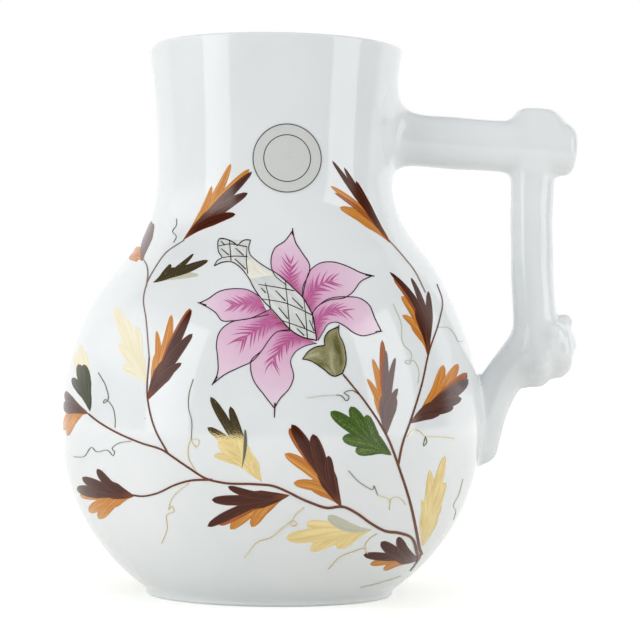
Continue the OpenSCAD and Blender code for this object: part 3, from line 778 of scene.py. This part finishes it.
# Widths of the ink lines, and how much wider a petal's tail starts
OUTLINE_W, CALYX_LINE_W, PISTIL_LINE_W, SCALE_W, DASH_W = 0.36, 0.432, 0.396, 0.34, 0.4
TAIL_WIDER = 1.6
# Veins: their width, their fine end and their pairs; then, in hundredths of the petal's length,
# where the rib ends, its steps, where side veins start and stray, and how far ahead they bend and end
VEIN_W, VEIN_END, RIB_WIDER, VEIN_PAIRS = 0.95, 0.14, 1.1, 8
VEIN_PLACES, RIB_END, RIB_STEP = 101, 54, 6
VEIN_FIRST, VEIN_LAST, VEIN_STRAY = 2, 42, 4
BEND_AHEAD, VEIN_AHEAD = 7, 15
# How far veins reach out to the petal's edge, how that narrows, their share at the bend, and a seed
VEIN_OUT, VEIN_NARROWS, BEND_OUT, HAND = (0.65, 0.85), 0.009, 0.52, 5


def body_gap(p):
    """How far points stand outside the body, measured level."""
    return np.hypot(p[:, 0] - lean(p[:, 2]), p[:, 1]) - outer_radius(p[:, 2])


def cast(drawing):
    """Points and normals on the glaze where the eye sees drawing places, wrapped round near its outline."""
    x, z = drawing.T
    half = outer_radius(z) * SEEN_WIDER
    facing = np.clip(x, -EDGE_SHARE * half, EDGE_SHARE * half)
    turn = (x - facing) / half / math.sqrt(1 - EDGE_SHARE ** 2)
    ray = np.stack([facing, np.zeros_like(x), z], 1) - EYE
    reaches = np.linspace(1 - (BELLY_R + FRONT_ROOM) / -EYE[1], 1, SCAN_STEPS)
    first = np.argmax([body_gap(EYE + ray * reach) < 0 for reach in reaches], 0)
    near, far = reaches[np.maximum(first - 1, 0)], reaches[first]
    for _ in range(HALVINGS):
        middle = (near + far) / 2
        inside = body_gap(EYE + ray * middle[:, None]) < 0
        near, far = np.where(inside, near, middle), np.where(inside, middle, far)
    place = EYE + ray * far[:, None]
    sway = lean(place[:, 2])
    across, deep = place[:, 0] - sway, place[:, 1].copy()
    place[:, 0] = across * np.cos(turn) - deep * np.sin(turn) + sway
    place[:, 1] = across * np.sin(turn) + deep * np.cos(turn)
    up = -radius_slope(place[:, 2]) * outer_radius(place[:, 2])
    normal = np.stack([place[:, 0] - sway, place[:, 1], up], 1)
    return place, normal / np.linalg.norm(normal, axis=1)[:, None]


def curve(points, count):
    """A smooth line through points, at evenly spread places."""
    p = np.array(points, float)
    t = np.concatenate([[0], np.cumsum(np.linalg.norm(np.diff(p, axis=0), axis=1))])
    heading = np.gradient(p, t, axis=0)
    s = np.linspace(0, t[-1], count)
    i = np.clip(np.searchsorted(t, s, side="right") - 1, 0, len(p) - 2)
    span = (t[i + 1] - t[i])[:, None]
    q = (s[:, None] - t[i][:, None]) / span
    return ((2 * q ** 3 - 3 * q ** 2 + 1) * p[i] + (q ** 3 - 2 * q ** 2 + q) * span * heading[i]
            + (3 * q ** 2 - 2 * q ** 3) * p[i + 1] + (q ** 3 - q ** 2) * span * heading[i + 1])


def stroke(path, widths, columns):
    """Drawing places of a brush stroke along a path: rows along it, columns across it."""
    ahead = np.gradient(path, axis=0)
    ahead /= np.linalg.norm(ahead, axis=1)[:, None]
    left = np.stack([-ahead[:, 1], ahead[:, 0]], 1)
    across = np.linspace(-0.5, 0.5, columns)
    return path[:, None] + left[:, None] * (widths[:, None] * across)[..., None]


def area(edges, rows, columns):
    """Drawing places of a wash between two edges."""
    left, right = curve(edges[0], rows), curve(edges[1], rows)
    share = np.linspace(0, 1, columns)[None, :, None]
    return left[:, None] * (1 - share) + right[:, None] * share


def lay(name, coats):
    """One painted piece. Each coat is a thin film over drawing places, on a layer, in an enamel."""
    points, faces, brush, finishes, which = [], [], [], [], []
    start = 0
    for places, layer, enamel in coats:
        rows, columns = places.shape[:2]
        place, normal = cast(places.reshape(-1, 2))
        top = place + normal * (FILM_BASE + FILM_STEP * layer)
        count = rows * columns
        index = np.arange(count).reshape(rows, columns)
        cover = np.stack([index[:-1, :-1], index[:-1, 1:], index[1:, 1:], index[1:, :-1]], -1)
        cover = cover.reshape(-1, 4)
        turn = np.cross(top[cover[:, 2]] - top[cover[:, 0]], top[cover[:, 3]] - top[cover[:, 1]])
        if (turn * normal[cover[:, 0]]).sum() < 0:
            cover = cover[:, ::-1]
            rim = np.concatenate([index[:, 0], index[-1, 1:], index[-2::-1, -1], index[0, -2:0:-1]])
        else:
            rim = np.concatenate([index[0], index[1:, -1], index[-1, -2::-1], index[-2:0:-1, 0]])
        ahead = np.roll(rim, -1)
        side = np.stack([rim + count, ahead + count, ahead, rim], -1)
        sheet = np.concatenate([cover, cover[:, ::-1] + count, side]) + start
        points += [top, place - normal * FILM_SUNK]
        faces.append(sheet)
        u, v = np.meshgrid(np.linspace(0, 1, columns), np.linspace(0, 1, rows))
        brush += [np.stack([u, v], -1).reshape(-1, 2)] * 2
        if enamel not in finishes:
            finishes.append(enamel)
        which += [finishes.index(enamel)] * len(sheet)
        start += 2 * count
    piece = mesh_piece(name, np.concatenate(points), np.concatenate(faces), [ENAMELS[e] for e in finishes])
    mesh = piece.data
    mesh.polygons.foreach_set("material_index", which)
    corners = np.empty(len(mesh.loops), int)
    mesh.loops.foreach_get("vertex_index", corners)
    mesh.uv_layers.new(name="brush").data.foreach_set("uv", np.concatenate(brush)[corners].ravel())


def leaf_stroke(foot, midrib, tip, width, tip_from, layer, enamel):
    """One stroke of a leaf: it follows the midrib, then turns to its own tip, swelling before it ends."""
    foot, tip = np.array(foot, float), np.array(tip, float)
    ahead = np.array(midrib, float) - foot
    hug = foot + ahead / np.linalg.norm(ahead) * np.linalg.norm(tip - foot) * MIDRIB_SHARE
    s = np.linspace(0, 1, STROKE_ROWS)
    path = ((1 - s) ** 2)[:, None] * foot + (2 * s * (1 - s))[:, None] * hug + (s ** 2)[:, None] * tip
    swell = np.minimum(s / LOBE_SWELL, 1) ** SWELL_POWER
    end = np.sqrt(1 - np.clip((s - tip_from) / (1 - tip_from), 0, 1) ** 2)
    return stroke(path, width * swell * end + LEAST_W, STROKE_COLUMNS), layer, enamel


def paint_leaf(name, foot, midrib, tip_from, strokes):
    """A leaf in strokes from its foot. A wash of each enamel fills in between its own strokes."""
    coats = []
    for enamel in dict.fromkeys(enamel for enamel, _, _ in strokes):
        own = [(tip, width) for kind, tip, width in strokes if kind == enamel]
        tips = np.array([tip for tip, _ in own], float)
        if len(own) > 1:
            reach = np.array(foot) + WASH_REACH * (tips.mean(0) - np.array(foot))
            between = np.clip(WASH_SHARE * math.dist(tips[0], tips[-1]), WASH_LEAST, WASH_MOST)
            coats.append(leaf_stroke(foot, midrib, reach, between, BLUNT, len(coats), enamel))
        for tip, width in own:
            coats.append(leaf_stroke(foot, midrib, tip, width, tip_from, len(coats), enamel))
    lay(name, coats)


def line(points, start_w, end_w, layer, enamel):
    """A drawn line through places, from one width to another."""
    length = np.linalg.norm(np.diff(np.array(points, float), axis=0), axis=1).sum()
    count = max(LINE_ROWS, int(length / LINE_STEP))
    return stroke(curve(points, count), np.linspace(start_w, end_w, count), LINE_COLUMNS), layer, enamel


def inked(lines, width, layer):
    """Fine ink lines, drawn with a light start and a fuller end."""
    return [line(points, width * INK_THIN, width * INK_FULL, layer, INK) for points in lines]


def petal_veins(edges, hand):
    """Brush strokes of a petal's rib and its pairs of side veins, each drawn from its fine end inwards."""
    left, right = curve(edges[0], VEIN_PLACES), curve(edges[1], VEIN_PLACES)
    rib = (left + right) / 2
    strokes = [line(rib[RIB_END::-RIB_STEP], VEIN_END, VEIN_W * RIB_WIDER, LAYER["rib"], VEIN)]
    for start in np.linspace(VEIN_FIRST, VEIN_LAST, VEIN_PAIRS):
        for edge in (left, right):
            start_here = int(start + hand.uniform(0, VEIN_STRAY))
            out = hand.uniform(*VEIN_OUT) - VEIN_NARROWS * start
            tip, bend = start_here + VEIN_AHEAD, start_here + BEND_AHEAD
            vein = [
                rib[tip] + out * (edge[tip] - rib[tip]),
                rib[bend] + BEND_OUT * out * (edge[bend] - rib[bend]),
                rib[start_here]]
            strokes.append(line(vein, VEIN_END, VEIN_W, LAYER["vein"], VEIN))
    return strokes


def paint_flower():
    """The flower: petals with inked edges, the calyx, and the pistil with its scales."""
    hand = np.random.default_rng(HAND)
    for name, (*edges, tail) in PETALS.items():
        lay(name, [
            (area(edges, *PETAL_MESH), LAYER["petal"], PINK),
            *petal_veins(edges, hand),
            *inked(edges, OUTLINE_W, LAYER["petal edge"]),
            line(tail, OUTLINE_W * TAIL_WIDER, OUTLINE_W, LAYER["petal tail"], INK)])
    sepals = [(area(edges, *CALYX_MESH), LAYER["calyx"] + step, OLIVE) for step, edges in enumerate(CALYX)]
    lay("calyx", sepals + inked(CALYX_LINES, CALYX_LINE_W, LAYER["calyx edge"]))
    forms = PISTIL, PISTIL_CROWN, PISTIL_LIP
    # The pistil's white glaze gets a grey film: its slight shade, painted in as colour
    grey = [(area(edges, *PISTIL_MESH), LAYER["pistil"], PISTIL_SHADE_GREY) for edges in forms]
    lay("pistil", [
        *grey,
        (area(PISTIL_IVORY, *IVORY_MESH), LAYER["ivory"], IVORY),
        *inked(PISTIL_LINES, PISTIL_LINE_W, LAYER["pistil edge"]),
        *inked(PISTIL_SCALES, SCALE_W, LAYER["scale"]),
        *inked(PISTIL_DASHES, DASH_W, LAYER["dash"])])


def paint_sprays():
    """Every leaf, stem, tendril and flower of the painted front."""
    for name, leaf in LEAVES.items():
        paint_leaf(name, *leaf)
    lay("leaf_front_gilt_side", [leaf_stroke(*GILT_SIDE, LAYER["gilt side"], GILT_LINE_DARK_REFLECTION)])
    for name, (enamel, thick, thin, points) in STEMS.items():
        lay(name, [line(points, thick, thin, LAYER["stem"], enamel)])
    for name, (enamel, points) in TENDRILS.items():
        lay(name, [line(points, TENDRIL_W, TENDRIL_END, LAYER["tendril"], enamel)])
    paint_flower()


# Finishes of the painting

BRISTLES, GILT_BRISTLES = 7, 5
ENAMEL_IOR, SHEEN_IOR = 1.34, 1.6
STROKE_MIDDLE = 0.5


def streaked(tree, bristles, along, drift_mm, detail):
    """A film's brush places and real places, and the streaks that a brush of so many bristles left in it."""
    brush = add(tree, "ShaderNodeUVMap", {}, uv_map="brush")
    place = add(tree, "ShaderNodeTexCoord", {}).outputs["Object"]
    drift = (1 / (drift_mm * MM),) * 3
    spread = add(tree, "ShaderNodeVectorMath", {0: brush, 1: (bristles, along, 0)}, operation="MULTIPLY")
    bristle = add(tree, "ShaderNodeVectorMath", {0: place, 1: drift, 2: spread}, operation="MULTIPLY_ADD")
    streak = add(tree, "ShaderNodeTexNoise", {"Vector": bristle, "Scale": 1, "Detail": detail})
    return brush, place, streak


def apart(tree, value, middle):
    """How far a value lies from a middle one, on either side."""
    off = add(tree, "ShaderNodeMath", {0: value, 1: middle}, operation="SUBTRACT")
    return add(tree, "ShaderNodeMath", {0: off}, operation="ABSOLUTE")


def fired_enamel(name, thin, full, pooled, edge, bristles=BRISTLES, stipple=0.15, ior=ENAMEL_IOR):
    """Overglaze enamel, brushed on and fired: glossy, streaked along the stroke, thin where it landed."""
    material, tree = finish_of(name)
    brush, place, streak = streaked(tree, bristles, along=1.3, drift_mm=22, detail=3)
    axes = add(tree, "ShaderNodeSeparateXYZ", {"Vector": brush})
    speckle_mm = 0.6
    thin_at, full_at, pooled_at = 0.32, 0.48, 0.68
    rim_from, rim_light, landing_end, landing_light = 0.34, 0.3, 0.3, 0.7
    speckle = add(tree, "ShaderNodeTexNoise", {"Vector": place, "Scale": 1 / (speckle_mm * MM), "Detail": 2})
    load = add(tree, "ShaderNodeMix", {"Factor": stipple, "A": streak, "B": speckle})
    shade = add(tree, "ShaderNodeValToRGB", {"Fac": load}, [
        (thin_at, thin), (full_at, full), (pooled_at, pooled)])
    side = apart(tree, axes.outputs["X"], STROKE_MIDDLE)
    rim = add(tree, "ShaderNodeMapRange", {
        "Value": side, "From Min": rim_from, "From Max": STROKE_MIDDLE, "To Max": rim_light})
    landing = add(tree, "ShaderNodeMapRange", {
        "Value": axes.outputs["Y"], "From Min": landing_end, "From Max": 0, "To Max": landing_light})
    light = add(tree, "ShaderNodeMath", {0: rim, 1: landing}, operation="MAXIMUM")
    colour = add(tree, "ShaderNodeMix", {"Factor": light, "A": shade, "B": linear(edge)},
                 data_type="RGBA")
    gloss = add(tree, "ShaderNodeMapRange", {"Value": speckle, "To Min": 0.08, "To Max": 0.24})
    return surfaced(material, {"Base Color": colour, "Roughness": gloss, "IOR": ior},
                    relief=streak, strength=0.25, depth_mm=0.1)


def burnished_gilding():
    """Fired and burnished gold: pale satin metal, dark where the room is dark, rubbed thin in streaks."""
    material, tree = finish_of("gilding_burnished")
    _, place, streak = streaked(tree, GILT_BRISTLES, along=1.5, drift_mm=9, detail=4)
    rub_mm, rubbed, bare_at, bare_edge = 0.5, 0.75, 0.66, 0.03
    thin_at, full_at = 0.35, 0.65
    tint = add(tree, "ShaderNodeValToRGB", {"Fac": streak}, [(thin_at, "#C6B07A"), (full_at, "#D8C692")])
    rub = add(tree, "ShaderNodeTexNoise", {"Vector": place, "Scale": 1 / (rub_mm * MM), "Detail": 3})
    thin = add(tree, "ShaderNodeMix", {"Factor": rubbed, "A": streak, "B": rub})
    bare = add(tree, "ShaderNodeMapRange", {
        "Value": thin, "From Min": bare_at, "From Max": bare_at + bare_edge})
    colour = add(tree, "ShaderNodeMix", {"Factor": bare, "A": tint, "B": linear("#DDDDCF")},
                 data_type="RGBA")
    metal = add(tree, "ShaderNodeMath", {0: 1, 1: bare}, operation="SUBTRACT")
    gloss = add(tree, "ShaderNodeMapRange", {
        "Value": streak, "From Min": thin_at, "From Max": full_at, "To Min": 0.06, "To Max": 0.13})
    return surfaced(material, {"Base Color": colour, "Metallic": metal, "Roughness": gloss},
                    relief=thin, strength=0.25, depth_mm=0.08)


def pink_petal_enamel():
    """Rose enamel: a pale wash that the brush left strong at the petal's foot."""
    material, tree = finish_of("enamel_rose_graded")
    brush = add(tree, "ShaderNodeUVMap", {}, uv_map="brush")
    axes = add(tree, "ShaderNodeSeparateXYZ", {"Vector": brush})
    place = add(tree, "ShaderNodeTexCoord", {}).outputs["Object"]
    cloud_mm, waver = 3, 0.16
    foot_slant, foot_full, foot_end, foot_strong = 0.5, 0.12, 0.5, 0.95
    cloud = add(tree, "ShaderNodeTexNoise", {"Vector": place, "Scale": 1 / (cloud_mm * MM), "Detail": 3})
    along = add(tree, "ShaderNodeMath", {0: cloud, 1: waver, 2: axes.outputs["Y"]}, operation="MULTIPLY_ADD")
    wash = add(tree, "ShaderNodeValToRGB", {"Fac": along},
               [(0.1, "#D798C2"), (0.5, "#E0B9D3"), (1, "#E9D3E3")])
    side = apart(tree, axes.outputs["X"], STROKE_MIDDLE)
    wedge = add(tree, "ShaderNodeMath", {0: side, 1: foot_slant, 2: along}, operation="MULTIPLY_ADD")
    strong = add(tree, "ShaderNodeMapRange", {
        "Value": wedge, "From Min": foot_end, "From Max": foot_full, "To Max": foot_strong})
    colour = add(tree, "ShaderNodeMix", {"Factor": strong, "A": wash, "B": linear("#A2356C")},
                 data_type="RGBA")
    return surfaced(material, {"Base Color": colour, "Roughness": 0.13, "IOR": 1.5},
                    relief=cloud, strength=0.2, depth_mm=0.08)


# Faint gilding is laid as an enamel of its colour, and so is gilding whose dark or bright reflection is
# painted into an enamel instead of shown by the metal
ENAMELS = {
    ORANGE: fired_enamel("enamel_orange", "#E2A858", "#CC8638", "#B56C26", "#C47A32"),
    RUST: fired_enamel("enamel_rust", "#C47A38", "#A5582A", "#834020", "#B0642C"),
    BROWN: fired_enamel("enamel_dark_brown", "#572A1A", "#471C0C", "#37110A", "#985024"),
    SHEEN: fired_enamel(
        "enamel_dark_brown_lustre", "#6B4236", "#553129", "#3A1F1A", "#7A4A38", ior=SHEEN_IOR),
    GREEN: fired_enamel("enamel_green", "#7C8E4A", "#4D682E", "#33491D", "#4C632C", stipple=0.45),
    BARK: fired_enamel("enamel_bark_brown", "#96592F", "#693A26", "#44231A", "#74422A"),
    TWIG: fired_enamel("enamel_bark_thin", "#A8948A", "#8A7268", "#6E564C", "#9A857B"),
    INK: fired_enamel("enamel_ink_line", "#3A262A", "#2A1A1E", "#20141A", "#2A1A1E"),
    OLIVE: fired_enamel("enamel_olive", "#C0BEAA", "#94906A", "#5E5A32", "#8A8758", bristles=1.6),
    # Pale grey film that paints the pistil's slight shade over the white glaze
    PISTIL_SHADE_GREY: fired_enamel("enamel_grey_painted_shade", "#E0E2E0", "#D6D9D7", "#CBCFCB", "#D6D9D7"),
    # Dark olive film: the gold's dark reflection of the room, painted in as colour
    GILT_DARK_REFLECTION: fired_enamel("gilding_dark_reflection_painted", "#565A36", "#3A3E22", "#282B16", "#3E4226"),
    # Grey-olive line film: the dark reflection of thin gilt lines, painted in as colour
    GILT_LINE_DARK_REFLECTION: fired_enamel("gilding_line_dark_reflection_painted", "#8A8C78", "#6E705C", "#5A5C48", "#7C7E6A"),
    IVORY: fired_enamel("enamel_ivory_wash", "#EEECE4", "#E8E6DA", "#DEDBC8", "#EAE9E2"),
    PINK: pink_petal_enamel(),
    VEIN: fired_enamel("enamel_rose_deep", "#CA7CAC", "#BC6096", "#A6487D", "#DFB0CE"),
    GOLD: burnished_gilding(),
    # Pale cream film: the gold's bright reflection, painted in as colour
    GILT_BRIGHT_REFLECTION: fired_enamel("gilding_bright_reflection_painted", "#F3EEDA", "#F0E8CC", "#EADFB8", "#F3EEDC"),
    FAINT: fired_enamel("gilding_faint_line", "#D2D2C0", "#C6C6B2", "#BCBCA6", "#D0D0C2"),
}


def printed_label():
    """Matt label paper with two printed rings; its middle is left bare."""
    material, tree = finish_of("label_paper_printed")
    low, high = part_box("label")
    middle = (low + high) / 2
    place = add(tree, "ShaderNodeTexCoord", {}).outputs["Object"]
    from_middle = add(tree, "ShaderNodeVectorMath", {0: place, 1: middle}, operation="SUBTRACT")
    flat = add(tree, "ShaderNodeVectorMath", {0: from_middle, 1: (1, 0, 1)}, operation="MULTIPLY")
    out = add(tree, "ShaderNodeVectorMath", {0: flat}, operation="LENGTH")
    ring_w, outer_ring, inner_ring = 0.36, 12.1, 8.3
    ring_out, ring_in = 0.6 * ring_w * MM, 0.4 * ring_w * MM
    rings = {}
    for step, ring in enumerate((outer_ring, inner_ring)):
        off = apart(tree, out, ring * MM)
        rings[step] = add(tree, "ShaderNodeMapRange", {
            "Value": off, "From Min": ring_out, "From Max": ring_in})
    print_mask = add(tree, "ShaderNodeMath", rings, operation="MAXIMUM")
    # Drawn coarser than the real fibre, so that it shows
    fibre_mm = 0.6
    fibre = add(tree, "ShaderNodeTexNoise", {"Vector": place, "Scale": 1 / (fibre_mm * MM), "Detail": 4})
    sheet = add(tree, "ShaderNodeValToRGB", {"Fac": fibre}, [(0, "#C6C8C7"), (1, "#D6D7D6")])
    colour = add(tree, "ShaderNodeMix", {"Factor": print_mask, "A": sheet, "B": linear("#2E2E30")},
                 data_type="RGBA")
    return surfaced(material, {"Base Color": colour, "Roughness": 0.6},
                    relief=fibre, strength=0.2, depth_mm=0.05)


glaze = porcelain_glaze()
throw_body([glaze, bare_biscuit()])
model_handle([glaze])
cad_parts["label"].data.materials.clear()
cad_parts["label"].data.materials.append(printed_label())
paint_sprays()
set_up_camera()
set_up_studio()

bpy.context.scene.view_settings.view_transform = "Standard"
